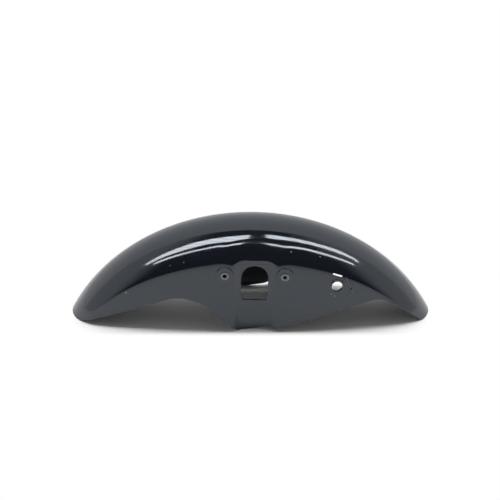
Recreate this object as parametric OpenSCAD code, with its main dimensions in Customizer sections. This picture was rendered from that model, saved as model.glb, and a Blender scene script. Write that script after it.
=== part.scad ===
// Front mudguard of a road motorbike, resting on the floor as it lies in the photo.
// X runs along its length, Y across, Z up. The wheel axle runs along Y below the floor plane.

/* [Crown] */
// Radius of the crown's outer face about the wheel axle
crown_r = 360; // [345:1:375]
// Height of the whole part over the floor
height = 176; // [170:1:182]
// How far inside the skirts' feet the crown's widest point lies, on each side
crown_in = 8; // [7:0.1:8.5]
// How much larger than half the width the radius of its flatter sides is
side_more = 12; // [10:0.5:16]
// How much smaller than half the width the radius of its round top is
top_less = 7; // [5:0.5:10]
// Wall of the moulding
wall = 2.8; // [2.4:0.1:3.4]

/* [Side panels] */
// Width over both skirts at the floor
skirt_w = 152; // [144:1:160]
// Flare of the side panels towards the floor, degrees
flare = 5; // [4:0.5:6]
// Plan radius of each side panel, which narrows the part towards its ends
plan_r = 1850; // [1700:50:2400]

/* [Rim] */
// Rear arch: its peak's distance from the rear tip, its height, and the radius over the peak
rear_back = 195.5; // [188:0.5:202]
rear_z = 61; // [55:1:65]
rear_r = 72; // [62:1:80]
// Slope of the rear arch towards the end and towards the fork, degrees
rear_out = 20.5; // [19:0.5:22]
rear_in = 43.6; // [40:0.2:46]
// Front arch: its peak's distance from the front tip, its height, and the radius over the peak
front_back = 104.5; // [98:0.5:110]
front_z = 54; // [50:1:58]
front_r = 45; // [40:1:50]
// Slope of the front arch towards the fork and towards the end, degrees
front_in = 17; // [16:0.5:18]
front_out = 37.6; // [36:0.2:39]
// Toe of the skirt: where its foot starts to rise towards the front, and how steeply
toe_x = -9; // [-12:0.5:-4]
toe_rise = 9; // [6:0.5:11]

/* [Fork recess] */
// Lean of the fork line from vertical while the part rests, degrees
lean = 1.4; // [0:0.1:2]
// Depth of the recess in each side panel
recess_d = 9.5; // [8:0.5:11]
// Width of the recess at the panel
recess_w = 70; // [66:1:76]
// Width of the recess at its floor
recess_floor_w = 42; // [40:1:46]
// Distance of its round top below the crown's top
recess_below = 49; // [47:0.5:52]
// Radius of its top corners at the panel
recess_round = 20; // [18:1:24]
// Distance of the shallow scoop above the recess from the crown's top, measured down
scoop_below = 26; // [24:0.5:30]
// Radius of the scoop across, and its lean from vertical, degrees
scoop_r = 300; // [250:10:400]
scoop_lean = 25; // [22:0.5:28]

/* [Fork opening] */
// Width of the opening, round at its top
opening_w = 43; // [38:1:46]
// Distance of its top edge below the crown's top, and its height
opening_below = 60; // [58:0.5:62]
opening_h = 61; // [54:1:64]
// Radius of its lower corners
opening_corner = 6; // [4:1:8]

/* [Fixing points] */
// Distance between the two fixing holes of a side
bolt_gap = 94.4; // [92:0.2:98]
// Distance of the fixing holes below the crown's top
bolt_below = 72.5; // [71:0.5:75]
// Bore of each metal collar
bore_d = 6.4; // [6:0.1:7]
// Diameter of the collar inside the moulding
collar_d = 9; // [8.6:0.1:9.4]
// Diameter and thickness of the collar's flange
flange_d = 13.6; // [12.6:0.2:14.4]
flange_t = 1.3; // [1:0.1:1.6]
// Diameter of the round pad around each collar
pad_d = 28; // [25:1:30]
// How far the pads stand out of the panel
pad_out = 1.3; // [0.9:0.1:1.7]
// Thickness of the moulding at a pad
pad_t = 6.2; // [5.6:0.1:7]

/* [Cable guide] */
// Place of the cable hole along X and its distance below the crown's top
cable_x = 137.5; // [133:0.5:142]
cable_below = 93.3; // [90:0.1:97]
// Diameter of the cable hole
cable_d = 17; // [14:0.5:18]
// Outer diameter of its raised ring
ring_d = 24; // [23:0.5:26]
// Length and height of the strap slot above the hole
slot_l = 16.5; // [14:0.5:18]
slot_h = 3.8; // [3:0.2:4.4]
// Height of the slot above the hole's centre
slot_up = 18; // [17:0.5:20]
// Tilt of the slot, degrees
slot_tilt = 20; // [16:1:24]
// Length, width and tilt of the rib that runs down past the ring
rib_l = 19; // [16:0.5:21]
rib_w = 2.6; // [2:0.1:3]
rib_tilt = 62; // [58:1:66]
// Length of the short upright rib below it
tab_l = 10; // [8:0.5:12]
// How far the ring and the ribs stand out of the panel
ring_out = 2.4; // [1.6:0.2:3]

/* [Hidden] */
$fn = 96;
half_w = skirt_w / 2;
slope = tan(flare);
flank = (recess_w - recess_floor_w) / 2 / recess_d;
opening_r = opening_w / 2;
axle_drop = crown_r - height;
tip_x = sqrt(crown_r * crown_r - axle_drop * axle_drop);
rear_x = rear_back - tip_x;
front_x = tip_x - front_back;
tall = 1.3 * height;
span = 1.3 * crown_r;
wide = 1.5 * skirt_w;
section_half = half_w - crown_in;
side_r = section_half + side_more;
top_r = section_half - top_less;
recess_top = height - recess_below;
scoop_z = height - scoop_below;
opening_top = height - opening_below;
opening_bottom = opening_top - opening_h;
bolt_z = height - bolt_below;
cable_z = height - cable_below;

// The section's top circle sits this far above the centres of its side circles, inside them
section_gap = side_more;
rise = sqrt((side_r - top_r) * (side_r - top_r) - section_gap * section_gap);
side_at = crown_r - rise - top_r;
meet = side_r * rise / (side_r - top_r);

// Half width of the crown's section at a height above the floor, on its flatter side
function section_y(z) = sqrt(side_r * side_r - pow(z + axle_drop - side_at, 2)) - section_gap;

// Half width of a side panel at a place along X and a height
function panel_y(x, z) = half_w - slope * z - x * x / (2 * plan_r);
pad_y = panel_y(bolt_gap / 2, bolt_z) + pad_out;

// Everything of the fork line turns about the wheel axle with the resting lean
module fork_frame() {
  translate([0, 0, -axle_drop])
    rotate([0, lean, 0])
      translate([0, 0, axle_drop])
        children();
}

// Leaning drum that bounds one side panel, set in by the given amount
module panel_drum(side, inset) {
  translate([0, side * half_w, 0])
    rotate([side * flare, 0, 0])
      translate([0, -side * (plan_r + inset), -wide])
        cylinder(h = tall + wide, r = plan_r, $fn = 360);
}

// Cross section of the crown: two flatter sides that run smoothly into a round top
module section(inset) {
  intersection() {
    translate([side_at, -section_gap])
      circle(r = side_r - inset);
    translate([side_at, section_gap])
      circle(r = side_r - inset);
    translate([side_at - 2 * wall, -wide])
      square([2 * wall + meet, 2 * wide]);
  }
  translate([side_at + rise, 0])
    circle(r = top_r - inset);
}

// Round crown about the wheel axle, filled down to its axle side
module crown(inset) {
  translate([0, 0, -axle_drop])
    rotate([90, 0, 0]) {
      rotate_extrude(angle = 180, $fn = 360)
        section(inset);
      translate([0, 0, -wide / 2])
        cylinder(h = wide, r = side_at - inset, $fn = 360);
    }
}

// Outer form for inset 0, cavity for the wall as inset
module body(inset) {
  intersection() {
    crown(inset);
    panel_drum(-1, inset);
    panel_drum(1, inset);
  }
}

// One arch of the lower rim through the whole width: two straight flanks under a round peak
// The flanks start a hair inside the round peak, so that the two outlines truly cross
module arch_cut(x, z, r, left, right) {
  reach = 2 * (z + r);
  cz = z - r;
  k = 0.999 * r;
  start = [x - k * sin(left), cz + k * cos(left)];
  end = [x + k * sin(right), cz + k * cos(right)];
  low_start = start - [(start[1] + reach) / tan(left), start[1] + reach];
  low_end = end + [(end[1] + reach) / tan(right), -end[1] - reach];
  rotate([90, 0, 0])
    linear_extrude(height = wide, center = true)
      polygon([low_start, start, [x, cz], end, low_end]);
  translate([x, 0, cz])
    rotate([90, 0, 0])
      cylinder(h = wide, r = r, center = true);
}

// Toe of the skirt, which rises gently towards the front
module toe_cut() {
  x = toe_x;
  run = front_x - toe_x;
  rotate([90, 0, 0])
    linear_extrude(height = wide, center = true)
      polygon([[x, 0], [x + run, run * tan(toe_rise)], [x + run, -run], [x, -run]]);
}

// Everything below the rim, cut out of the whole width
module rim_cut() {
  arch_cut(rear_x, rear_z, rear_r, rear_out, rear_in);
  arch_cut(front_x, front_z, front_r, front_in, front_out);
  toe_cut();
  translate([-span, -wide, -span])
    cube([2 * span, 2 * wide, span]);
}

// Places its children on the near panel's leaning face, moved out of it by the given amount
module on_panel(out) {
  translate([0, -half_w - out, 0])
    rotate([-flare, 0, 0])
      children();
}

// Funnel of the recess: sloping flanks at both sides and over a round top
module funnel() {
  up = recess_top - recess_round;
  side = recess_w / 2 - recess_round;
  deep = recess_round / flank;
  cut_w = recess_w / 2 - flank * deep;
  out_w = recess_w / 2 + flank * deep;
  translate([0, 0, -wide / 4])
    linear_extrude(height = up + wide / 4)
      polygon([[-out_w, -deep], [out_w, -deep], [cut_w, deep], [-cut_w, deep]]);
  rotate([90, 0, 90])
    linear_extrude(height = 2 * side, center = true)
      polygon([[-deep, 0], [deep, 0], [deep, up], [-deep, up + 2 * recess_round]]);
  for (end = [-1, 1]) {
    translate([end * side, deep, up])
      rotate([90, 0, 0])
        cylinder(h = 2 * deep, r1 = 0, r2 = 2 * recess_round);
  }
}

// Recess for the fork leg on the near side, grown by the given amount
module recess(grow) {
  y0 = -half_w + recess_d + grow;
  shift = grow * sqrt(1 + flank * flank) / flank;
  intersection() {
    rotate([90, 0, 90])
      linear_extrude(height = 3 * recess_w, center = true)
        polygon([[-wide, -wall], [y0 - slope * wall, -wall], [y0 + slope * tall, tall], [-wide, tall]]);
    on_panel(-shift)
      funnel();
  }
}

// Shallow scoop above the near recess, grown by the given amount
module scoop(grow) {
  translate([0, -section_y(scoop_z), scoop_z])
    rotate([-scoop_lean, 0, 0])
      translate([0, grow - scoop_r, -wide / 3])
        cylinder(h = wide, r = scoop_r, $fn = 360);
}

// Both recesses and scoops on the fork line
module recesses(grow) {
  fork_frame() {
    recess(grow);
    scoop(grow);
    mirror([0, 1, 0]) {
      recess(grow);
      scoop(grow);
    }
  }
}

// Opening beside the fork leg, through both sides
module opening() {
  fork_frame()
    rotate([90, 0, 0])
      linear_extrude(height = wide, center = true) {
        translate([0, opening_top - opening_r])
          circle(r = opening_r);
        translate([-opening_r, opening_bottom + opening_corner])
          square([opening_w, opening_top - opening_r - opening_bottom - opening_corner]);
        translate([-opening_r + opening_corner, opening_bottom])
          square([opening_w - 2 * opening_corner, opening_corner * 2]);
        for (side = [-1, 1]) {
          translate([side * (opening_r - opening_corner), opening_bottom + opening_corner])
            circle(r = opening_corner);
        }
      }
}

// Places its children at one fixing point, with +Z pointing out of the panel
module at_bolt(side, end) {
  fork_frame()
    translate([end * bolt_gap / 2, side * pad_y, bolt_z])
      rotate([side * -90, 0, 0])
        children();
}

// Round pads under the collars
module pads() {
  for (side = [-1, 1]) {
    for (end = [-1, 1]) {
      at_bolt(side, end)
        translate([0, 0, -pad_t])
          cylinder(h = pad_t, d = pad_d);
    }
  }
}

// Holes that take the collars
module pad_holes() {
  for (side = [-1, 1]) {
    for (end = [-1, 1]) {
      at_bolt(side, end)
        translate([0, 0, -2 * pad_t])
          cylinder(h = 4 * pad_t, d = collar_d);
    }
  }
}

// Places its children on the near panel at the cable guide, with +Z pointing out
module at_guide(dx, dz) {
  y = -panel_y(cable_x + dx, cable_z + dz);
  translate([cable_x + dx, y, cable_z + dz])
    rotate([90, 0, 0])
      children();
}

// Ring and ribs of the cable guide
module guide() {
  seat = 0.7 * wall;
  rib_x = ring_d / 2 + rib_w + rib_l * cos(rib_tilt) / 2 - rib_w / 2;
  tab_x = ring_d / 2 + rib_l * cos(rib_tilt) + rib_w;
  at_guide(0, 0)
    translate([0, 0, -seat])
      cylinder(h = ring_out + seat, d = ring_d);
  at_guide(rib_x, ring_d / 4)
    rotate([0, 0, -rib_tilt])
      translate([-rib_l / 2, -rib_w / 2, -seat])
        cube([rib_l, rib_w, ring_out + seat]);
  at_guide(tab_x, -ring_d / 4 - tab_l / 3)
    translate([-rib_w / 2, -tab_l / 2, -seat])
      cube([rib_w, tab_l, ring_out + seat]);
}

// Cable hole and strap slot
module guide_holes() {
  at_guide(0, 0)
    translate([0, 0, -cable_d])
      cylinder(h = 2 * cable_d, d = cable_d);
  at_guide(0, slot_up)
    rotate([0, 0, -slot_tilt])
      translate([-slot_l / 2, -slot_h / 2, -slot_l])
        cube([slot_l, slot_h, 2 * slot_l]);
}

// The one moulded shell
module shell() {
  color([0.07, 0.07, 0.08])
    difference() {
      union() {
        difference() {
          body(0);
          recesses(0);
          difference() {
            body(wall);
            recesses(wall);
          }
        }
        pads();
        guide();
      }
      rim_cut();
      opening();
      pad_holes();
      guide_holes();
    }
}

// A flanged metal collar pressed into a pad
module collar(side, end) {
  color([0.62, 0.63, 0.64])
    at_bolt(side, end)
      difference() {
        union() {
          translate([0, 0, -pad_t])
            cylinder(h = pad_t + flange_t, d = collar_d);
          cylinder(h = flange_t, d = flange_d);
        }
        translate([0, 0, -pad_t - 1])
          cylinder(h = pad_t + flange_t + 2, d = bore_d);
      }
}

shell();
collar(-1, -1);  // near_rear_collar
collar(-1, 1);  // near_front_collar
collar(1, -1);  // far_rear_collar
collar(1, 1);  // far_front_collar
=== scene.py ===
# %% [markdown]
# A motorbike's front mudguard, moulded in one piece from gloss black ABS, lies on a white floor.
# The CAD model is loaded first and kept as the frame, so that every piece made here has a fixed place.

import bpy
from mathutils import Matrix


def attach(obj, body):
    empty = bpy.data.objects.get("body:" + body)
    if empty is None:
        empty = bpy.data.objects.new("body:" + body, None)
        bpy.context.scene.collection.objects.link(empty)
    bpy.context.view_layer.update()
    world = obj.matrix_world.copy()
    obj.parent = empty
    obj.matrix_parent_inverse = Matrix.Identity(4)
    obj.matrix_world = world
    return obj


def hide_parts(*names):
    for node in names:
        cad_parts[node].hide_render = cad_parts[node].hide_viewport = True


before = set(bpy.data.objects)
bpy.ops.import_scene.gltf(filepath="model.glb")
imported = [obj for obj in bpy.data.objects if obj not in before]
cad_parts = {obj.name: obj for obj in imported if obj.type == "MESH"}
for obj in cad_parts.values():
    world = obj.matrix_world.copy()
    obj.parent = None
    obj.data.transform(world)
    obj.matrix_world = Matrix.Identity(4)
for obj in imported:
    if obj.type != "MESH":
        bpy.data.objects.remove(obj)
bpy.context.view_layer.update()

# %% [markdown]
# Sizes are in millimetres, as a maker would give them, while Blender works in metres.
# One helper makes an object from points, one starts a material, and one adds a node,
# sets it up and links it. The last few wrap the kinds of node that every finish here is built from.

# %% imports and first helpers
import math

import bmesh
import bpy
import numpy as np
from mathutils import Matrix, Vector

MM = 0.001
scene = bpy.context.scene


def new_object(name, points, faces, edges=()):
    """A linked object with a mesh of its own, from points in metres."""
    data = bpy.data.meshes.new(name)
    data.from_pydata(points, edges, faces)
    made = bpy.data.objects.new(name, data)
    scene.collection.objects.link(made)
    return made


def new_material(name):
    """A node material, its tree and its main shader."""
    material = bpy.data.materials.new(name)
    material.use_nodes = True
    return material, material.node_tree, material.node_tree.nodes["Principled BSDF"]


def srgb(text):
    """An sRGB hex colour as linear red, green, blue and alpha."""
    parts = [int(text[i : i + 2], 16) / 255 for i in (1, 3, 5)]
    return [c / 12.92 if c <= 0.04045 else ((c + 0.055) / 1.055) ** 2.4 for c in parts] + [1.0]


print("mid grey as linear light", [round(c, 3) for c in srgb("#808080")])


# %% node helpers
def add(tree, kind, settings=(), inputs=()):
    """Adds one node, sets its settings, and fills or links its inputs."""
    node = tree.nodes.new(kind)
    for key, value in dict(settings).items():
        setattr(node, key, value)
    for key, value in dict(inputs).items():
        if isinstance(value, bpy.types.NodeSocket):
            tree.links.new(value, node.inputs[key])
        else:
            node.inputs[key].default_value = value
    return node


def calc(tree, operation, *values, kind="ShaderNodeMath", output=0):
    """The result of a maths node, or of a vector maths node."""
    return add(tree, kind, {"operation": operation}, dict(enumerate(values))).outputs[output]


def remap(tree, value, start, end, low=0.0, high=1.0, soft=False):
    """A value that runs from low to high while the given one runs from start to end."""
    kind = "SMOOTHSTEP" if soft else "LINEAR"
    given = {"Value": value, "From Min": start, "From Max": end, "To Min": low, "To Max": high}
    return add(tree, "ShaderNodeMapRange", {"interpolation_type": kind}, given).outputs["Result"]


def noise(tree, place, scale, detail):
    """A cloudy noise from 0 to 1, with its scale in lumps per unit of the place."""
    given = {"Vector": place, "Scale": scale, "Detail": detail}
    return add(tree, "ShaderNodeTexNoise", inputs=given).outputs["Fac"]


def blend(tree, first, second, factor):
    """A colour between two colours."""
    given = {"A": first, "B": second, "Factor": factor}
    return add(tree, "ShaderNodeMix", {"data_type": "RGBA"}, given).outputs["Result"]


def own_place(tree):
    """Places on the object itself, in metres."""
    return add(tree, "ShaderNodeTexCoord").outputs["Object"]


VECTOR = "ShaderNodeVectorMath"
PLAIN_WHITE = (1, 1, 1, 1)
print("node helpers ready")

# %% [markdown]
# The camera stands close to the part and looks down on it by 30 degrees.
# Its lens and place were solved from the crown's curve, the skirts' feet and the known radius of the crown.

# %% camera
SENSOR = 36.0
LENS_PER_SENSOR = 588 / 500
lens = bpy.data.cameras.new("camera")
lens.sensor_width = SENSOR
lens.lens = LENS_PER_SENSOR * SENSOR
lens.clip_start = 0.01
camera = bpy.data.objects.new("camera", lens)
scene.collection.objects.link(camera)
camera.location = Vector((-0.7, -842.5, 598.8)) * MM
camera.rotation_euler = (math.radians(60), 0, 0)
scene.camera = camera
scene.view_settings.view_transform = "Standard"
print("camera", tuple(camera.location), "lens", lens.lens)

# %% [markdown]
# Gloss black ABS mirrors only about a fifteenth of the room's light, so the room makes the look.
# The room's back half is white up to straight overhead, and side walls fade into a dark room
# behind the camera. A picture of a real room could do this too, but two gradients of the direction
# are cleaner and can be tuned one by one. The camera itself sees plain white behind the part.

# %% room
DARK = 0.05
SIDE_WALL = 0.75
SIDE_TURN = 0.6
BACK_AXIS = math.radians(88)
world = bpy.data.worlds.new("room")
scene.world = world
world.use_nodes = True
sky = world.node_tree
sky.nodes.clear()
direction = add(sky, "ShaderNodeTexCoord").outputs["Generated"]
split = add(sky, "ShaderNodeSeparateXYZ", inputs={0: direction})
back = calc(sky, "MULTIPLY", split.outputs["Y"], math.sin(BACK_AXIS))
high = calc(sky, "MULTIPLY", split.outputs["Z"], math.cos(BACK_AXIS))
back_wall = remap(sky, calc(sky, "ADD", back, high), -0.02, 0.03, DARK, 1.0, soft=True)
aside = calc(sky, "ABSOLUTE", split.outputs["X"])
turned = calc(sky, "MULTIPLY_ADD", split.outputs["Y"], SIDE_TURN, aside)
side_walls = remap(sky, turned, 0.12, 0.62, 0.0, SIDE_WALL, soft=True)
walls = calc(sky, "MAXIMUM", back_wall, side_walls)
camera_ray = add(sky, "ShaderNodeLightPath").outputs["Is Camera Ray"]
seen = calc(sky, "MAXIMUM", walls, camera_ray)
glow = add(sky, "ShaderNodeBackground", inputs={"Color": PLAIN_WHITE, "Strength": seen})
add(sky, "ShaderNodeOutputWorld", inputs={"Surface": glow.outputs[0]})
print("room nodes", len(sky.nodes))

# %% [markdown]
# The bright strips on the crown are mirrored lamps, two wide and two narrow, with a gap over the fork.
# One area light per strip could both shine and be mirrored, but then a bright strip would also
# flood the floor. So a glowing sheet that only mirrors see gives each strip its shape,
# and an area light above the part gives the light that falls. The wide lamps have faint bars.


# %% glow of a lamp
def glowing(name, glare, bars):
    """A lamp's glow, with bars that dim it by the given share."""
    material = bpy.data.materials.new(name)
    material.use_nodes = True
    tree = material.node_tree
    tree.nodes.clear()
    pattern = {"Vector": own_place(tree), "Scale": 2.2}
    wave = add(tree, "ShaderNodeTexWave", {"bands_direction": "DIAGONAL"}, pattern)
    strength = remap(tree, wave.outputs["Fac"], 0.0, 1.0, glare * (1 - bars), glare)
    light = add(tree, "ShaderNodeEmission", inputs={"Color": PLAIN_WHITE, "Strength": strength})
    add(tree, "ShaderNodeOutputMaterial", inputs={"Surface": light.outputs[0]})
    return material


# %% one lamp
LAMP_HEIGHT = 1.7
LIGHT_DEPTH = 0.4
LIGHT_BACK = 0.15
LIGHT_LEVEL = 4.0


def lamp(name, corners, glare, bars=0.0):
    """A flat lamp: its mirrored picture from a glowing sheet, its light from an area light."""
    points = [(x * MM, y * MM, LAMP_HEIGHT) for x, y in corners]
    sheet = new_object(name, points, [range(len(corners))])
    sheet.data.materials.append(glowing(name, glare, bars))
    sheet.visible_camera = False
    sheet.visible_diffuse = False
    sheet.visible_shadow = False
    xs = [x for x, y in corners]
    data = bpy.data.lights.new(name, "AREA")
    data.shape = "RECTANGLE"
    data.size = (max(xs) - min(xs)) * MM
    data.size_y = LIGHT_DEPTH
    data.energy = LIGHT_LEVEL * math.pi * data.size * data.size_y
    body = bpy.data.objects.new(name + "_light", data)
    scene.collection.objects.link(body)
    body.location = (sum(xs) / len(xs) * MM, LIGHT_BACK, LAMP_HEIGHT)
    body.visible_camera = False
    body.visible_glossy = False
    print(name, "is", round(data.size, 2), "m long and takes", round(data.energy, 1), "W")


# %% [markdown]
# The outlines below are in millimetres and rounded to 50, which is as fine as a strip on the crown shows.

# %% four lamps
WIDE_GLARE = 12.0
NARROW_GLARE = 11.0
BARS = 0.3
left_wide = [(0, -550), (-400, -600), (-900, -650), (-1750, -900), (-2450, -1200)]
left_wide += [(-2500, -1400), (-1800, -1200), (-1350, -1150), (-650, -1000), (0, -1050)]
right_wide = [(230, -450), (600, -500), (1200, -500), (1600, -450), (2200, -550), (2400, -650)]
right_wide += [(2450, -900), (2250, -750), (1650, -750), (600, -750), (230, -800)]
left_narrow = [(0, -1650), (-200, -1450), (-550, -1300), (-850, -1400), (-1650, -1450), (-2200, -1550)]
left_narrow += [(-2300, -1750), (-1700, -1650), (-900, -1550), (-550, -1450), (-150, -1700), (0, -1900)]
right_narrow = [(170, -1700), (300, -1550), (700, -1250), (1000, -1200), (1350, -1250), (2400, -1250)]
right_narrow += [(2500, -1450), (1400, -1450), (1000, -1400), (700, -1450), (250, -1850), (150, -2000)]
lamp("left_wide_lamp", left_wide, WIDE_GLARE, BARS)
lamp("right_wide_lamp", right_wide, WIDE_GLARE, BARS)
lamp("left_narrow_lamp", left_narrow, NARROW_GLARE)
lamp("right_narrow_lamp", right_narrow, NARROW_GLARE)

# %% [markdown]
# The floor is a sheet of white paper. Under the part it takes light and shade, up to a soft edge
# near the rim. Further out the camera sees plain white, as in a product photo with a cleared background.
# A shadow catcher could do that too, but it leaves the white background to be laid in afterwards.

# %% floor
PAPER_HALF = (0.292, 0.0725, 0)
PAPER_FADE = 0.014
PAPER_GREY = 0.8
floor = new_object("floor", [(-4, -3, 0), (4, -3, 0), (4, 5, 0), (-4, 5, 0)], [(0, 1, 2, 3)])
paper, tree, bsdf = new_material("white_paper_sweep")
bsdf.inputs["Base Color"].default_value = (PAPER_GREY, PAPER_GREY, PAPER_GREY, 1)
bsdf.inputs["Roughness"].default_value = 1.0
bsdf.inputs["Specular IOR Level"].default_value = 0.0
aside = calc(tree, "ABSOLUTE", own_place(tree), kind=VECTOR)
past = calc(tree, "SUBTRACT", aside, PAPER_HALF, kind=VECTOR)
beyond = calc(tree, "MAXIMUM", past, (0, 0, 0), kind=VECTOR)
away = calc(tree, "LENGTH", beyond, kind=VECTOR, output="Value")
camera_ray = add(tree, "ShaderNodeLightPath").outputs["Is Camera Ray"]
cleared = calc(tree, "MULTIPLY", remap(tree, away, 0.0, PAPER_FADE, soft=True), camera_ray)
bright = add(tree, "ShaderNodeEmission", inputs={"Color": PLAIN_WHITE, "Strength": 1.0})
shaders = {0: cleared, 1: bsdf.outputs[0], 2: bright.outputs[0]}
both = add(tree, "ShaderNodeMixShader", inputs=shaders)
tree.links.new(both.outputs[0], tree.nodes["Material Output"].inputs["Surface"])
floor.data.materials.append(paper)
print("floor nodes", len(tree.nodes))

# %% [markdown]
# The shell is one plastic moulding, 2.8 mm thick: a round crown that follows the wheel,
# two skirts that flare a little, and a pocket on each side where a fork leg passes.
# It could be sculpted, or subdivided from a cage, but gloss black shows every ripple in a mesh.
# So the form is written as one rule: how far a point lies outside the skin.
# Rays are then walked out to that skin on an even grid.

# %% sizes of the crown and the skirts
CROWN_R = 360.0
HEIGHT = 176.0
WALL = 2.8
HALF_W = 76.0
FLARE = math.tan(math.radians(5))
BOW_R = 1850.0
SECTION_HALF = HALF_W - 8
SIDE_MORE = 12.0
SIDE_R = SECTION_HALF + SIDE_MORE
TOP_R = SECTION_HALF - 7
UNDER_R = 30.0
AXLE = CROWN_R - HEIGHT
RISE = math.sqrt((SIDE_R - TOP_R) ** 2 - SIDE_MORE**2)
SIDE_AT = CROWN_R - RISE - TOP_R
TIP_X = math.sqrt(CROWN_R**2 - AXLE**2)
print("crown radius", CROWN_R, "axle below the floor", AXLE, "tips at", round(TIP_X, 1))

# %% sizes of the fork pocket and the scoop above it
LEAN = math.radians(1.4)
POCKET_HALF = 35.0
POCKET_FLOOR_HALF = 21.0
POCKET_DEEP = 9.5
POCKET_ROUND = 20.0
POCKET_TOP = HEIGHT - 45
FLANK = (POCKET_HALF - POCKET_FLOOR_HALF) / POCKET_DEEP
SCOOP_TOP = HEIGHT - 26
SCOOP_R = 300.0
SCOOP_LEAN = math.radians(25)
SCOOP_Y = math.sqrt(SIDE_R**2 - (SCOOP_TOP + AXLE - SIDE_AT) ** 2) - SIDE_MORE
print("pocket top at", POCKET_TOP, "scoop starts at half width", round(SCOOP_Y, 1))

# %% [markdown]
# Where two faces meet, the larger of their distances is the shape.
# A soft maximum of the two leaves the small radius that a moulding tool has there.
# The crown's section is a round top that runs smoothly into two flatter sides.


# %% crown and panels
def soft_max(a, b, radius):
    """The larger of two distances, with a small radius where they meet."""
    near = np.clip(1 - np.abs(a - b) / radius, 0, 1)
    return np.maximum(a, b) + near * near * radius / 4


def crown_gap(r, y):
    """Distance outside the crown's section. Below its widest place it opens, and the panels rule."""
    across = np.abs(y) + SIDE_MORE
    up = r - SIDE_AT
    under = np.abs(y) - SECTION_HALF - up * up / (2 * UNDER_R)
    side = np.where(up > 0, np.hypot(across, up) - SIDE_R, under)
    top = np.hypot(y, up - RISE) - TOP_R
    return np.where(np.arctan2(up, across) > math.atan2(RISE, SIDE_MORE), top, side)


def panel_y(x, z):
    """Half width of a side panel, which flares towards the floor and bows along its length."""
    return HALF_W - FLARE * z - x * x / (2 * BOW_R)


print("half width at the floor", panel_y(0, 0), "and at the tips", round(panel_y(TIP_X, 0), 1))

# %% [markdown]
# The fork leans a little, so its pocket and the scoop above it are measured along a line
# that leans with it. The pocket is a space pushed into the panel: a flat floor, sloping flanks
# and a round top. The scoop is a hollow of large radius that lets the fork leg pass the crown.

# %% fork line, pocket and the whole skin
CREASE_SOFT = 4.0
SCOOP_SOFT = 5.0
POCKET_SOFT = 2.5
POCKET_FLOOR_SOFT = 4.0


def to_fork(x, z):
    """Coordinates that lean with the fork line about the wheel axle."""
    high = z + AXLE
    return x * math.cos(LEAN) - high * math.sin(LEAN), x * math.sin(LEAN) + high * math.cos(LEAN) - AXLE


def from_fork(x, z):
    """The way back: a place on the fork line as a place on the part."""
    high = z + AXLE
    return x * math.cos(LEAN) + high * math.sin(LEAN), high * math.cos(LEAN) - x * math.sin(LEAN) - AXLE


def pocket_gap(fx, y, fz):
    """Distance inside the space of the fork leg."""
    qx = np.abs(fx) - (POCKET_HALF - POCKET_ROUND)
    qz = fz - (POCKET_TOP - POCKET_ROUND)
    outline = np.hypot(np.maximum(qx, 0), np.maximum(qz, 0)) + np.minimum(np.maximum(qx, qz), 0)
    inside = POCKET_ROUND - outline
    above = np.abs(y) - HALF_W + FLARE * fz
    flank = (inside / FLANK + above) * FLANK / math.hypot(1, FLANK)
    return -soft_max(-flank, -(POCKET_DEEP + above), POCKET_FLOOR_SOFT)


def skin_gap(x, y, z):
    """Distance outside the moulding's outer skin, rim left aside."""
    fx, fz = to_fork(x, z)
    panel = np.abs(y) - panel_y(x, z)
    out = math.cos(SCOOP_LEAN) * (np.abs(y) - SCOOP_Y) + math.sin(SCOOP_LEAN) * (fz - SCOOP_TOP)
    scoop = SCOOP_R - np.hypot(fx, SCOOP_R - out)
    gap = soft_max(crown_gap(np.hypot(x, z + AXLE), y), panel, CREASE_SOFT)
    return soft_max(soft_max(gap, scoop, SCOOP_SOFT), pocket_gap(fx, y, fz), POCKET_SOFT)


print("gap at the crown's top", float(skin_gap(np.float64(0), np.float64(0), np.float64(HEIGHT))))

# %% [markdown]
# The rim has an arch behind the fork and another ahead of it, and between them a toe that rises
# a little towards the front. Each arch is a round peak with a straight flank on both sides.

# %% rim
REAR_X = 195.5 - TIP_X
REAR_PEAK = 61.0
REAR_R = 72.0
FRONT_X = TIP_X - 104.5
FRONT_PEAK = 54.0
FRONT_R = 45.0
TOE_X = -9.0
TOE_RISE = math.radians(9)


def arch(x, middle, peak, radius, left, right):
    """Height of one arch of the rim, with the slopes of its two flanks in degrees."""
    left = math.radians(left)
    right = math.radians(right)
    centre = peak - radius
    left_end = middle - radius * math.sin(left)
    right_end = middle + radius * math.sin(right)
    top = centre + np.sqrt(np.maximum(radius**2 - (x - middle) ** 2, 0))
    rising = centre + radius * math.cos(left) + (x - left_end) * math.tan(left)
    falling = centre + radius * math.cos(right) - (x - right_end) * math.tan(right)
    return np.where(x < left_end, rising, np.where(x > right_end, falling, top))


def rim_z(x):
    """Height of the lower rim above the floor."""
    rear = arch(x, REAR_X, REAR_PEAK, REAR_R, 20.5, 43.6)
    front = arch(x, FRONT_X, FRONT_PEAK, FRONT_R, 17.0, 37.6)
    toe = np.where(x < FRONT_X, (x - TOE_X) * math.tan(TOE_RISE), 0)
    return np.maximum.reduce([np.zeros_like(x), rear, front, toe])


print("arches at", round(REAR_X, 1), "and", round(FRONT_X, 1))

# %% [markdown]
# Every column of the grid lies in a plane through the wheel axle, so its edges follow the wheel.
# Its rays fan out from the middle of the crown's section, and below that they run straight across.
# Each ray is halved until it ends on the skin, and a column ends where its ray meets the rim.

# %% walk rays out to the skin
RAY_STEPS = 34
SEARCH_STEPS = 30
LONGEST_RAY = 120.0
DOWN = 100.0


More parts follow.
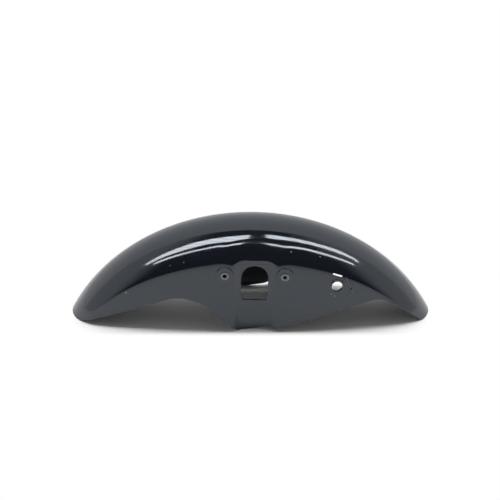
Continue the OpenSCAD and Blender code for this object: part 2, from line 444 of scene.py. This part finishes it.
def cast(angle, s, level):
    """Points on the near skin: s from 0 to 1 fans over the crown, and more goes down the panel."""
    turn = np.minimum(s, 1) * math.pi / 2
    start = SIDE_AT - np.maximum(s - 1, 0) * DOWN
    low = np.zeros_like(s)
    high = np.full_like(s, LONGEST_RAY)
    for _ in range(RAY_STEPS):
        mid = (low + high) / 2
        r = start + mid * np.cos(turn)
        gap = skin_gap(r * np.sin(angle), mid * np.sin(turn), r * np.cos(angle) - AXLE)
        low = np.where(gap < level, mid, low)
        high = np.where(gap < level, high, mid)
    r = start + low * np.cos(turn)
    return np.stack([r * np.sin(angle), -low * np.sin(turn), r * np.cos(angle) - AXLE], axis=-1)


def halve(test, low, high):
    """Where a test that starts true turns false, for every column at once."""
    for _ in range(SEARCH_STEPS):
        mid = (low + high) / 2
        good = test(mid)
        low = np.where(good, mid, low)
        high = np.where(good, high, mid)
    return low


print("a sideways ray ends at", cast(np.zeros(1), np.ones(1), 0.0).round(1).tolist())

# %% one skin of the near half
CROWN_ROWS = 30
PANEL_ROWS = 54
CROWN_EASE = 1.3
PANEL_EASE = 1.2
CORNER_STEP = 0.0057


def crown_first(angle, level, s):
    """True while the crown's face, not the panel's, is the skin."""
    x, y, z = np.moveaxis(cast(angle, s, level), -1, 0)
    return crown_gap(np.hypot(x, z + AXLE), y) > np.abs(y) - panel_y(x, z)


def above_rim(angle, level, s):
    """True while the skin is above the rim."""
    x, _, z = np.moveaxis(cast(angle, s, level), -1, 0)
    return z > rim_z(x)


def skin(angle, level):
    """Columns of points from the crown's top to the rim's corner, closer together at the crease."""
    angle = angle[:, None]
    zero = np.zeros_like(angle)
    end = halve(lambda s: above_rim(angle, level, s), zero, zero + 2.2)
    crease = np.minimum(halve(lambda s: crown_first(angle, level, s), zero, zero + 1.3), 0.6 * end)
    inset = end - np.minimum(CORNER_STEP, 0.3 * end)
    u = np.linspace(0, 1, CROWN_ROWS + 1)[None, :]
    crown = crease * (1 - (1 - u) ** CROWN_EASE)
    u = np.linspace(0, 1, PANEL_ROWS + 1)[None, 1:]
    panel = crease + (inset - crease) * u**PANEL_EASE
    return cast(angle, np.concatenate([crown, panel, end], axis=1), level)


print("points in a column", CROWN_ROWS + PANEL_ROWS + 2)

# %% [markdown]
# Columns stand close together at the fork pocket, wider apart over the arches,
# and closer and closer towards each tip, where the section shrinks to a point.
# The inner skin is the same rule taken one wall deeper, and its tips are a little shorter.

# %% outer and inner skin
FINE = 0.25
FINE_COUNT = 54
COARSE = 0.6
COARSE_COUNT = 74
TIP_COUNT = 12
TIP_SHRINK = 0.68
INNER_EASE = 4
tip = math.degrees(math.acos(AXLE / CROWN_R))
fine_end = FINE * FINE_COUNT
half = [FINE * k for k in range(FINE_COUNT)]
half += [fine_end + COARSE * k for k in range(1, COARSE_COUNT + 1)]
rest = tip - half[-1]
half += [tip - rest * TIP_SHRINK**k for k in range(1, TIP_COUNT + 1)]
columns = np.radians(np.array([-a for a in half[:0:-1]] + half))
shorter = math.radians(tip) - math.acos(AXLE / (CROWN_R - WALL))
towards_tip = (np.abs(columns) / math.radians(tip)) ** INNER_EASE
inner_columns = columns - np.sign(columns) * shorter * towards_tip
outer = skin(columns, 0.0)
inner = skin(inner_columns, -WALL)
print("columns", len(columns), "rows", outer.shape[1])

# %% [markdown]
# Both skins are joined at the rim, whose two corners are rounded like those of a trimmed moulding.
# Each column then is one closed loop: down the near side outside, up inside, and the same mirrored.
# The inner skin is hardly seen, so it keeps only every third row.

# %% rim corners and closed loops
CORNER_R = 0.6
THIN_OUT = 3


def corner(a, c, b):
    """Two points that round a corner c between a and b."""
    return [(1 - t) ** 2 * a + 2 * t * (1 - t) * c + t * t * b for t in (0.33, 0.67)]


rim_out = outer[:, -1]
rim_in = inner[:, -1]
step = CORNER_R * (rim_in - rim_out) / np.linalg.norm(rim_in - rim_out, axis=1)[:, None]
rim = corner(outer[:, -2], rim_out, rim_out + step)
rim += [rim_out + step, rim_in - step]
rim += corner(rim_in - step, rim_in, inner[:, -2])
inside = inner[:, -2::-THIN_OUT]
near = np.concatenate([outer[:, :-1], np.stack(rim, axis=1), inside], axis=1)
far = near[:, -2:0:-1] * np.array([1, -1, 1])
loops = np.concatenate([near, far], axis=1)
count, around = loops.shape[:2]
print("loops", count, "points in each", around)

# %% faces between the loops
index = np.arange(count * around).reshape(count, around)
onward = np.roll(index, -1, axis=1)
quads = np.stack([index[:-1], index[1:], onward[1:], onward[:-1]], axis=-1).reshape(-1, 4)


def end_cap(row):
    """Closes a tip between the two skins, where one inner edge meets every three outer ones."""
    out = outer.shape[1] - 2
    within = near.shape[1] - inside.shape[1]
    faces = [list(range(out, within + 1))]
    while out > 0:
        faces.append(list(range(out - THIN_OUT, out + 1)) + [within, within + 1])
        out -= THIN_OUT
        within += 1
    mirrored = [[(around - i) % around for i in face] for face in faces]
    return [[int(row[i]) for i in face] for face in faces + mirrored]


faces = quads.tolist() + end_cap(index[0]) + end_cap(index[-1])
print("faces", len(faces))


# %% mesh of the shell
def face_outward(mesh, merge=0.0):
    """Turns every face outward, and tells whether the mesh is closed and how much it holds."""
    work = bmesh.new()
    work.from_mesh(mesh)
    if merge:
        bmesh.ops.remove_doubles(work, verts=work.verts, dist=merge)
    bmesh.ops.recalc_face_normals(work, faces=work.faces)
    open_edges = sum(not e.is_manifold for e in work.edges)
    print(mesh.name, "open edges", open_edges, "volume mm3", round(work.calc_volume() / MM**3))
    work.to_mesh(mesh)
    work.free()


moulding = new_object("moulded_shell", (loops.reshape(-1, 3) * MM).tolist(), faces)
face_outward(moulding.data)

# %% [markdown]
# Pads, the guide's ring and its ribs stand on the skin, and the openings go through it.
# Each is a small prism, and one that stays to be seen has its front edge rounded first.
# Exact booleans then join or cut them, because their edges cross the grid anywhere
# and still have to be clean circles and lines.


# %% prisms and their outlines
def solid(name, outline, back, front, matrix, soft=0.0):
    """A closed prism of an outline along its own Z, with its front edge rounded."""
    shape = bmesh.new()
    ring = [shape.verts.new((x, y, back)) for x, y in outline]
    face = shape.faces.new(ring)
    made = bmesh.ops.extrude_face_region(shape, geom=[face])["geom"]
    lifted = [v for v in made if isinstance(v, bmesh.types.BMVert)]
    bmesh.ops.translate(shape, verts=lifted, vec=(0, 0, front - back))
    if soft:
        edges = [e for e in shape.edges if all(v in lifted for v in e.verts)]
        bmesh.ops.bevel(shape, geom=edges, offset=soft, segments=3, profile=0.5, affect="EDGES")
    bmesh.ops.recalc_face_normals(shape, faces=shape.faces)
    shape.transform(Matrix.Scale(MM, 4) @ matrix)
    data = bpy.data.meshes.new(name)
    shape.to_mesh(data)
    shape.free()
    return bpy.data.objects.new(name, data)


def circle(radius, steps=64, x=0.0, y=0.0, start=0.0, end=360.0):
    """Points of an arc, without its last one."""
    angles = [math.radians(start + (end - start) * k / steps) for k in range(steps)]
    return [(x + radius * math.cos(a), y + radius * math.sin(a)) for a in angles]


def rounded(length, width, radius):
    """Outline of a rectangle with rounded corners."""
    a = length / 2 - radius
    b = width / 2 - radius
    points = []
    for k, (x, y) in enumerate([(a, b), (-a, b), (-a, -b), (a, -b)]):
        points += circle(radius, 5, x, y, 90 * k, 90 * k + 112.5)
    return points


def facing(x, y, z, side=-1, turn=0.0):
    """A place on a panel with its Z pointing out of the near or the far side, turned about that Z."""
    out = Matrix.Rotation(math.radians(-90 * side), 4, "X")
    return Matrix.Translation((x, y, z)) @ out @ Matrix.Rotation(turn, 4, "Z")


print("points of a rounded rectangle", len(rounded(2, 1, 0.1)))

# %% pads and the holes of their collars
THROUGH = 110.0
BOLT_X = 47.2
BOLT_Z = 103.5
PAD_R = 14.0
PAD_T = 6.2
PAD_OUT = 1.3
PAD_SOFT = 0.5
COLLAR_R = 4.5
PAD_Y = panel_y(BOLT_X, BOLT_Z) + PAD_OUT
joined = []
cutters = []
for end in (-1, 1):
    x, z = from_fork(end * BOLT_X, BOLT_Z)
    for side in (-1, 1):
        joined.append(solid("pad", circle(PAD_R), -PAD_T, 0, facing(x, side * PAD_Y, z, side), PAD_SOFT))
    cutters.append(solid("collar_hole", circle(COLLAR_R, 48), -THROUGH, THROUGH, facing(x, 0, z)))
print("pads", len(joined), "at half width", round(PAD_Y, 2))

# %% cable guide: ring, rib and tab on the near side
GUIDE_X = 137.5
GUIDE_Z = HEIGHT - 93.3
SEAT = 0.7 * WALL
RING_R = 12.0
RING_OUT = 1.0
RING_SOFT = 0.6
RIB_L = 19.0
RIB_W = 2.6
RIB_TILT = math.radians(62)
RIB_UP = 6.0
RIB_OUT = 2.4
RIB_SOFT = 1.1
TAB_L = 10.0
rib_run = RIB_L * math.cos(RIB_TILT)
rib_x = RING_R + RIB_W + rib_run / 2 - RIB_W / 2
tab_x = RING_R + rib_run + RIB_W
tab_up = -RIB_UP - TAB_L / 3


def on_guide(dx, dz, turn=0.0):
    """A place on the near panel, counted from the cable hole."""
    return facing(GUIDE_X + dx, -panel_y(GUIDE_X + dx, GUIDE_Z + dz), GUIDE_Z + dz, turn=turn)


rib_outline = rounded(RIB_L, RIB_W, 0.6)
tab_outline = rounded(RIB_W, TAB_L, 0.6)
joined.append(solid("ring", circle(RING_R), -SEAT, RING_OUT, on_guide(0, 0), RING_SOFT))
joined.append(solid("rib", rib_outline, -SEAT, RIB_OUT, on_guide(rib_x, RIB_UP, -RIB_TILT), RIB_SOFT))
joined.append(solid("tab", tab_outline, -SEAT, RIB_OUT, on_guide(tab_x, tab_up), RIB_SOFT))
print("joined solids", len(joined))

# %% cable hole and strap slot
CABLE_R = 8.5
CABLE_TALL = 1.08
SLOT_L = 16.5
SLOT_H = 3.8
SLOT_UP = 18.0
SLOT_TURN = math.radians(-20)
CUT_Y = -62.0
CUT_IN = -20.0
CUT_OUT = 30.0
cable_outline = [(x, CABLE_TALL * y) for x, y in circle(CABLE_R)]
cable_place = facing(GUIDE_X, CUT_Y, GUIDE_Z)
slot_place = facing(GUIDE_X, CUT_Y, GUIDE_Z + SLOT_UP, turn=SLOT_TURN)
cutters.append(solid("cable_hole", cable_outline, CUT_IN, CUT_OUT, cable_place))
cutters.append(solid("strap_slot", rounded(SLOT_L, SLOT_H, 0.8), CUT_IN, CUT_OUT, slot_place))
print("cable hole", 2 * CABLE_R, "mm wide")

# %% fork opening
OPENING_R = 21.5
OPENING_TOP = HEIGHT - 60
OPENING_BOTTOM = OPENING_TOP - 61
OPENING_CORNER = 6.0
straight = OPENING_TOP - OPENING_R
corner_x = OPENING_R - OPENING_CORNER
corner_z = OPENING_BOTTOM + OPENING_CORNER
window = circle(OPENING_R, 48, 0, straight, 0, 180) + [(-OPENING_R, straight)]
window += circle(OPENING_CORNER, 8, -corner_x, corner_z, 180, 270) + [(-corner_x, OPENING_BOTTOM)]
window += circle(OPENING_CORNER, 8, corner_x, corner_z, 270, 360) + [(OPENING_R, corner_z)]
from_axle = Matrix.Translation((0, 0, -AXLE))
leaning = from_axle @ Matrix.Rotation(LEAN, 4, "Y") @ from_axle.inverted()
upright = Matrix.Rotation(math.radians(90), 4, "X")
cutters.append(solid("fork_opening", window, -THROUGH, THROUGH, leaning @ upright))
print("cutting solids", len(cutters))


# %% join and cut
def combine(piece, operation, parts):
    """Joins or cuts a whole collection of solids in one exact boolean."""
    group = bpy.data.collections.new(operation.lower())
    scene.collection.children.link(group)
    for part in parts:
        group.objects.link(part)
    change = piece.modifiers.new(operation, "BOOLEAN")
    change.operation = operation
    change.solver = "EXACT"
    change.operand_type = "COLLECTION"
    change.collection = group
    bpy.context.view_layer.update()
    evaluated = piece.evaluated_get(bpy.context.evaluated_depsgraph_get())
    data = bpy.data.meshes.new_from_object(evaluated)
    piece.modifiers.clear()
    piece.data = data
    for part in parts:
        bpy.data.objects.remove(part)
    bpy.data.collections.remove(group)
    print(operation, "leaves", len(data.polygons), "faces")


SHELL_SHARP = math.radians(32)
combine(moulding, "UNION", joined)
combine(moulding, "DIFFERENCE", cutters)
moulding.data.shade_smooth()
moulding.data.set_sharp_from_angle(angle=SHELL_SHARP)
moulding.data.name = "moulded_shell"

# %% [markdown]
# A zinc-plated steel collar is pressed into each of the four pads, so that a bolt can't crush the plastic.
# They repeat, so one Geometry Nodes tree makes them: a profile with rounded corners is swept round a circle,
# and a grid of two by two points carries it to the fixing holes on the leaning fork line.

# %% collar profile and the tree's inputs
BORE_R = 3.2
FLANGE_R = 6.8
FLANGE_T = 1.3
SWEEP_R = 5.0
outline = [(BORE_R, -PAD_T), (COLLAR_R, -PAD_T), (COLLAR_R, 0.0)]
outline += [(FLANGE_R, 0.0), (FLANGE_R, FLANGE_T), (BORE_R, FLANGE_T)]
ring = [(k, (k + 1) % len(outline)) for k in range(len(outline))]
collars = new_object("zinc_collars", [((r - SWEEP_R) * MM, -h * MM, 0) for r, h in outline], [], ring)
tree = bpy.data.node_groups.new("collars", "GeometryNodeTree")
tree.interface.new_socket("Geometry", in_out="INPUT", socket_type="NodeSocketGeometry")
tree.interface.new_socket("Geometry", in_out="OUTPUT", socket_type="NodeSocketGeometry")
collar_sizes = {"Spacing": 2 * BOLT_X, "Width": 2 * PAD_Y, "Height": BOLT_Z, "Corner": 0.25}
collar_inputs = {}
for name, value in collar_sizes.items():
    number = tree.interface.new_socket(name, in_out="INPUT", socket_type="NodeSocketFloat")
    collar_inputs[number.identifier] = value * MM
coating = tree.interface.new_socket("Material", in_out="INPUT", socket_type="NodeSocketMaterial")
print("collar sizes", collar_sizes)


# %% sweep one collar
def step_node(kind, settings=(), **inputs):
    """Adds one step of the collars' tree, with underscores for the spaces in its inputs' names."""
    named = {key.replace("_", " "): value for key, value in inputs.items()}
    return add(tree, "GeometryNode" + kind, settings, named).outputs[0]


given = add(tree, "NodeGroupInput").outputs
curve = step_node("MeshToCurve", Mesh=given["Geometry"])
polygon = {"mode": "POLY"}
profile = step_node("FilletCurve", polygon, Curve=curve, Radius=given["Corner"], Count=2, Limit_Radius=True)
path = step_node("CurvePrimitiveCircle", Resolution=48, Radius=SWEEP_R * MM)
swept = step_node("CurveToMesh", Curve=path, Profile_Curve=profile)
print("sweep nodes", len(tree.nodes))

# %% carry it to the four holes
spots = {"Size X": given["Spacing"], "Size Y": given["Width"], "Vertices X": 2, "Vertices Y": 2}
grid = add(tree, "GeometryNodeMeshGrid", inputs=spots).outputs["Mesh"]
up = calc(tree, "ADD", given["Height"], AXLE * MM)
lift = add(tree, "ShaderNodeCombineXYZ", inputs={"Z": up}).outputs[0]
raised = step_node("Transform", Geometry=grid, Translation=lift)
leant = step_node("Transform", Geometry=raised, Rotation=(0, LEAN, 0))
placed = step_node("Transform", Geometry=leant, Translation=(0, 0, -AXLE * MM))
where = add(tree, "ShaderNodeSeparateXYZ", inputs={0: step_node("InputPosition")})
outward = add(tree, "ShaderNodeCombineXYZ", inputs={"Y": where.outputs["Y"]}).outputs[0]
aim = add(tree, "FunctionNodeAlignRotationToVector", {"axis": "Z"}, {"Vector": outward}).outputs[0]
copies = step_node("InstanceOnPoints", Points=placed, Instance=swept, Rotation=aim)
real = step_node("RealizeInstances", Geometry=copies)
coated = step_node("SetMaterial", Geometry=real, Material=given["Material"])
add(tree, "NodeGroupOutput", inputs={"Geometry": coated})
collar_tree = tree
print("collar nodes", len(collar_tree.nodes))

# %% [markdown]
# Moulded ABS is near black and glossy. Fine rubbing scratches, settled dust and a few nicks tell the eye
# that it has been in use, and a faint orange peel makes its mirrored lamps waver a little.
# A painted picture could hold all that, but noise in the part's own space has no seams
# and keeps its real scale.

# %% gloss black plastic: dust and rubbing scratches
CLOUD_SCALE = 28.0
DUST_SCALE = 900.0
RUB_SCALE = (60, 60, 2600)
RUB_TURN = (0, math.radians(24), 0)
abs_black, tree, bsdf = new_material("injection_moulded_gloss_abs")
place = own_place(tree)
cloud = noise(tree, place, CLOUD_SCALE, 4.0)
dust = noise(tree, place, DUST_SCALE, 2.0)
settled = calc(tree, "MULTIPLY", remap(tree, dust, 0.7, 0.78), cloud)
clean = blend(tree, srgb("#12161e"), srgb("#4c4e52"), settled)
stretch = {"Vector": place, "Rotation": RUB_TURN, "Scale": RUB_SCALE}
along = add(tree, "ShaderNodeMapping", inputs=stretch).outputs[0]
scratches = remap(tree, noise(tree, along, 1.0, 3.0), 0.62, 0.72, 0.0, 0.12)
rubbed = calc(tree, "ADD", remap(tree, cloud, 0.3, 0.7, 0.05, 0.1), scratches)
print("plastic nodes so far", len(tree.nodes))

# %% [markdown]
# The photo shows a few pale nicks on the crown and round the fork opening. The same pale spots on the
# pocket's right flank by the opening, and along the guide's rib and tab, are painted highlight where those
# faces catch the light. Each is a small ball of paler, rougher plastic with a ragged edge.
# Its depth across the part isn't typed in but found on the skin, as the grid's points were.

# %% where the nicks and the painted highlights are
nick_and_highlight_marks = [(-200, 67, 1.5), (-126, 117, 0.8), (-104, 123, 0.7), (63, 140, 1.0), (109, 130, 0.8), (-19, 32, 0.8)]
# The four marks from (27, 82) to (34, 76) are painted highlight on the pocket's right flank, where it mirrors
# light.
nick_and_highlight_marks += [(27, 82, 0.8), (30, 78, 0.9), (29, 72, 0.7), (34, 76, 0.8), (129, 69, 1.3), (135, 65, 1.1)]
nicks_and_painted_highlights = []
for x, z, radius in nick_and_highlight_marks:
    y = halve(lambda y: skin_gap(np.float64(x), y, np.float64(z)) < 0, np.float64(0), np.float64(90))
    nicks_and_painted_highlights.append((x, -float(y), z, radius))
rib_mid_x = GUIDE_X + rib_x
rib_mid_z = GUIDE_Z + RIB_UP
# Spots along the rib's front and on the tab: painted highlight where their raised edges catch the light.
for t in (-7, -4, -1, 2, 5, 8):
    x = rib_mid_x + t * math.cos(RIB_TILT)
    z = rib_mid_z - t * math.sin(RIB_TILT)
    nicks_and_painted_highlights.append((x, -panel_y(rib_mid_x, rib_mid_z) - RIB_OUT, z, 1.1))
for t in (-2.8, 0, 2.8):
    x = GUIDE_X + tab_x
    z = GUIDE_Z + tab_up + t
    nicks_and_painted_highlights.append((x, -panel_y(x, z) - RIB_OUT, z, 1.3))
print("nicks_and_painted_highlights", [tuple(round(v, 1) for v in nick) for nick in nicks_and_painted_highlights])

# %% gloss black plastic: nicks and painted highlights
SPOT_RAGGED = 1.6
SPOT_EDGE = 0.8
SPOT_FULL = 0.4
ragged = calc(tree, "MULTIPLY", dust, SPOT_RAGGED * MM)
wear_and_painted_highlight = add(tree, "ShaderNodeValue").outputs[0]
for x, y, z, radius in nicks_and_painted_highlights:
    apart = calc(tree, "DISTANCE", place, (x * MM, y * MM, z * MM), kind=VECTOR, output="Value")
    uneven = calc(tree, "ADD", apart, ragged)
    pale_spot = remap(tree, uneven, (radius + SPOT_EDGE) * MM, (radius + SPOT_FULL) * MM)
    wear_and_painted_highlight = calc(tree, "MAXIMUM", wear_and_painted_highlight, pale_spot)
# Paler colour at the nicks, which is also the painted highlight on the pocket's flank, the rib and the tab.
tone = blend(tree, clean, srgb("#8d8f93"), wear_and_painted_highlight)
rough = calc(tree, "MULTIPLY_ADD", wear_and_painted_highlight, 0.4, rubbed)
print("plastic nodes so far", len(tree.nodes))

# %% [markdown]
# The openings are cut with sharp edges in the mesh. A real moulding has a small radius there, which
# catches a thin line of light, so a bevel in the shader rounds how light falls on them.

# %% gloss black plastic: soft edges, orange peel and the shader
PEEL_SCALE = 170.0
CUT_SOFT = 0.5
edge = add(tree, "ShaderNodeBevel", {"samples": 6}, {"Radius": CUT_SOFT * MM}).outputs[0]
peel = noise(tree, place, PEEL_SCALE, 1.0)
bumps = {"Height": peel, "Strength": 0.05, "Distance": 0.05 * MM, "Normal": edge}
wavy = add(tree, "ShaderNodeBump", inputs=bumps).outputs[0]
bsdf.inputs["IOR"].default_value = 1.68
bsdf.inputs["Specular Tint"].default_value = (0.87, 0.93, 1.0, 1.0)
tree.links.new(tone, bsdf.inputs["Base Color"])
tree.links.new(rough, bsdf.inputs["Roughness"])
tree.links.new(wavy, bsdf.inputs["Normal"])
moulding.data.materials.clear()
moulding.data.materials.append(abs_black)
print("plastic nodes", len(tree.nodes))

# %% [markdown]
# Zinc plating is a duller, greyer metal than bare steel. Small parts are plated in a tumbling barrel,
# which leaves a cloudy bloom and fine dents, so the collars show as soft rings and not as mirrors.

# %% zinc-plated steel
BLOOM_SCALE = 420.0
DENT_SCALE = 4200.0
zinc, tree, bsdf = new_material("zinc_plated_turned_steel")
place = own_place(tree)
bloom = noise(tree, place, BLOOM_SCALE, 3.0)
dents = noise(tree, place, DENT_SCALE, 2.0)
tone = blend(tree, srgb("#56585c"), srgb("#7f8185"), bloom)
rough = remap(tree, dents, 0.0, 1.0, 0.28, 0.48)
bumps = {"Height": dents, "Strength": 0.3, "Distance": 0.02 * MM}
wavy = add(tree, "ShaderNodeBump", inputs=bumps).outputs[0]
bsdf.inputs["Metallic"].default_value = 1.0
tree.links.new(tone, bsdf.inputs["Base Color"])
tree.links.new(rough, bsdf.inputs["Roughness"])
tree.links.new(wavy, bsdf.inputs["Normal"])
print("zinc nodes", len(tree.nodes))

# %% [markdown]
# The collars' tree has made no mesh yet. It is run once with its sizes and its metal, and the result
# becomes the object's own mesh, because the exported model holds meshes and no trees.

# %% bake the collars
COLLAR_SHARP = math.radians(40)
sweep = collars.modifiers.new("collars", "NODES")
sweep.node_group = collar_tree
for identifier, value in collar_inputs.items():
    sweep[identifier] = value
sweep[coating.identifier] = zinc
bpy.context.view_layer.update()
evaluated = collars.evaluated_get(bpy.context.evaluated_depsgraph_get())
baked = bpy.data.meshes.new_from_object(evaluated)
collars.modifiers.clear()
collars.data = baked
face_outward(baked, merge=0.001 * MM)
baked.shade_smooth()
baked.set_sharp_from_angle(angle=COLLAR_SHARP)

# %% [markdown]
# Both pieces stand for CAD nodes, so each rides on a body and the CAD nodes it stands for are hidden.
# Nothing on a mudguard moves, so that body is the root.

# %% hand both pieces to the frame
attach(moulding, "root")
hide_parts("shell")
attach(collars, "root")
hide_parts("near_rear_collar", "near_front_collar", "far_rear_collar", "far_front_collar")
for piece in (moulding, collars):
    corners = np.array([v.co for v in piece.data.vertices]) / MM
    print(piece.name, corners.min(axis=0).round(2), corners.max(axis=0).round(2))
